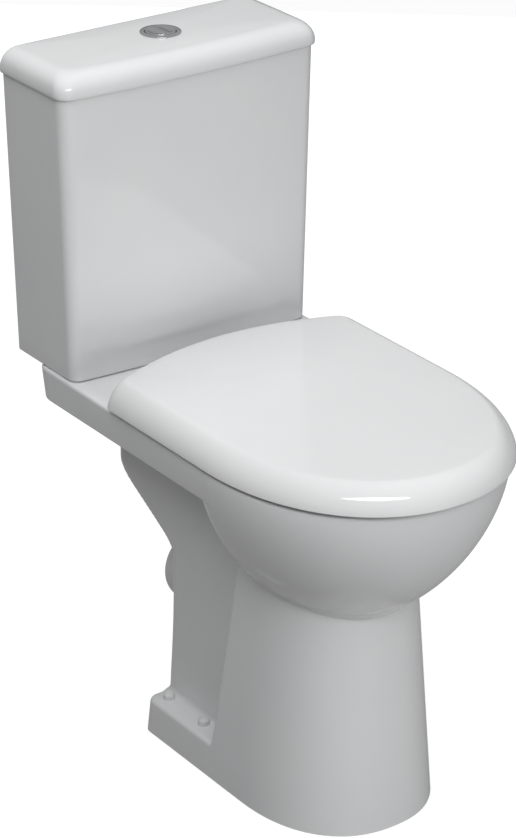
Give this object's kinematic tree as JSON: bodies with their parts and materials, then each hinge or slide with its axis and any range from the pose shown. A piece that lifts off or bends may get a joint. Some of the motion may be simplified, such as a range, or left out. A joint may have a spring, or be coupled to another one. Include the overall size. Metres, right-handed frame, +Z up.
{
  "type": "close coupled toilet",
  "caption": "White ceramic close coupled toilet: round-fronted pan on a pedestal with a horizontal outlet, wrap-over seat cover, bowed cistern and split dual flush button.",
  "frame": {"origin": "on the floor, in the middle of the object's width and depth", "axes": "+Z up, the bowl points to -Y and the wall is at +Y; the water inlet is at +X"},
  "size_m": [0.37, 0.651, 0.8643],
  "materials": {
    "glazed_ceramic": "gloss glaze",
    "seat_plastic": "gloss",
    "soft_bumper": "matte",
    "chrome_trim": "polished",
    "plain_steel": "bright",
    "black_rubber": "matte",
    "valve_plastic": "satin",
    "hinge_plastic": "gloss",
    "cap_plastic": "gloss",
    "inlet_brass": "turned"
  },
  "bodies": {
    "shell": {"pan": "glazed_ceramic", "cistern": "glazed_ceramic", "cistern_lid": "glazed_ceramic", "floor_screw_caps": "cap_plastic", "hinge_posts": "hinge_plastic", "hinge_studs": "plain_steel", "hinge_bushes": "black_rubber", "hinge_pins": "plain_steel", "button_bezel": "chrome_trim", "bezel_nut": "valve_plastic", "flush_valve_base": "valve_plastic", "flush_valve_gasket": "black_rubber", "flush_valve_backnut": "valve_plastic", "coupling_washer": "black_rubber", "flush_valve_tower": "valve_plastic", "rocker_pins": "plain_steel", "coupling_bolts": "plain_steel", "coupling_bolt_seals": "black_rubber", "coupling_plate_washers": "plain_steel", "coupling_wing_nuts": "plain_steel", "fill_valve_body": "inlet_brass", "fill_valve_gasket": "black_rubber", "fill_valve_backnut": "inlet_brass", "fill_valve_lever_pin": "plain_steel"},
    "cover": {"seat_cover": "seat_plastic", "cover_bumpers": "soft_bumper"},
    "ring": {"seat_ring": "seat_plastic", "ring_bumpers": "soft_bumper"},
    "full_button": {"full_flush_button": "chrome_trim", "full_flush_rod": "valve_plastic"},
    "half_button": {"half_flush_button": "chrome_trim", "half_flush_rod": "valve_plastic"},
    "full_rocker": {"full_flush_rocker": "valve_plastic"},
    "half_rocker": {"half_flush_rocker": "valve_plastic"},
    "full_lift": {"overflow_tube": "valve_plastic", "flush_seal": "black_rubber"},
    "half_lift": {"half_flush_sleeve": "valve_plastic"},
    "float": {"fill_valve_float": "valve_plastic"},
    "fill_lever": {"fill_valve_lever": "valve_plastic"}
  },
  "joints": [
    {"name": "seat_cover_hinge", "type": "hinge", "parent": "shell", "child": "cover", "pos_m": [0, 0.132, 0.489], "axis": [-1, 0, 0], "range_deg": [0, 92]},
    {"name": "seat_ring_hinge", "type": "hinge", "parent": "shell", "child": "ring", "pos_m": [0, 0.132, 0.489], "axis": [-1, 0, 0], "range_deg": [0, 90]},
    {"name": "full_flush_button", "type": "slide", "parent": "shell", "child": "full_button", "axis": [0, 0, -1], "range_m": [0, 0.008], "stiffness_N_per_m": 800, "springref_m": -0.001},
    {"name": "half_flush_button", "type": "slide", "parent": "shell", "child": "half_button", "axis": [0, 0, -1], "range_m": [0, 0.008], "stiffness_N_per_m": 800, "springref_m": -0.001},
    {"name": "full_flush_rocker", "type": "hinge", "parent": "shell", "child": "full_rocker", "pos_m": [0.036, 0.258, 0.722], "axis": [0, -1, 0], "range_deg": [0, 18.9]},
    {"name": "half_flush_rocker", "type": "hinge", "parent": "shell", "child": "half_rocker", "pos_m": [-0.036, 0.258, 0.722], "axis": [0, 1, 0], "range_deg": [0, 18.9]},
    {"name": "overflow_tube_lift", "type": "slide", "parent": "shell", "child": "full_lift", "axis": [0, 0, 1], "range_m": [0, 0.0109]},
    {"name": "half_flush_sleeve_lift", "type": "slide", "parent": "shell", "child": "half_lift", "axis": [0, 0, 1], "range_m": [0, 0.0109]},
    {"name": "fill_float", "type": "slide", "parent": "shell", "child": "float", "axis": [0, 0, 1], "range_m": [0, 0.015]},
    {"name": "fill_lever", "type": "hinge", "parent": "shell", "child": "fill_lever", "pos_m": [0.146, 0.268, 0.759], "axis": [-1, 0, 0], "range_deg": [0, 22.9]}
  ],
  "couplings": [
    {"joint": "seat_ring_hinge", "follows": "seat_cover_hinge", "ratio": 0.97},
    {"joint": "full_flush_rocker", "follows": "full_flush_button", "rad_per_m": 41},
    {"joint": "half_flush_rocker", "follows": "half_flush_button", "rad_per_m": 41},
    {"joint": "overflow_tube_lift", "follows": "full_flush_button", "ratio": 1.36},
    {"joint": "half_flush_sleeve_lift", "follows": "half_flush_button", "ratio": 1.36},
    {"joint": "fill_lever", "follows": "fill_float", "rad_per_m": 26.5}
  ]
}
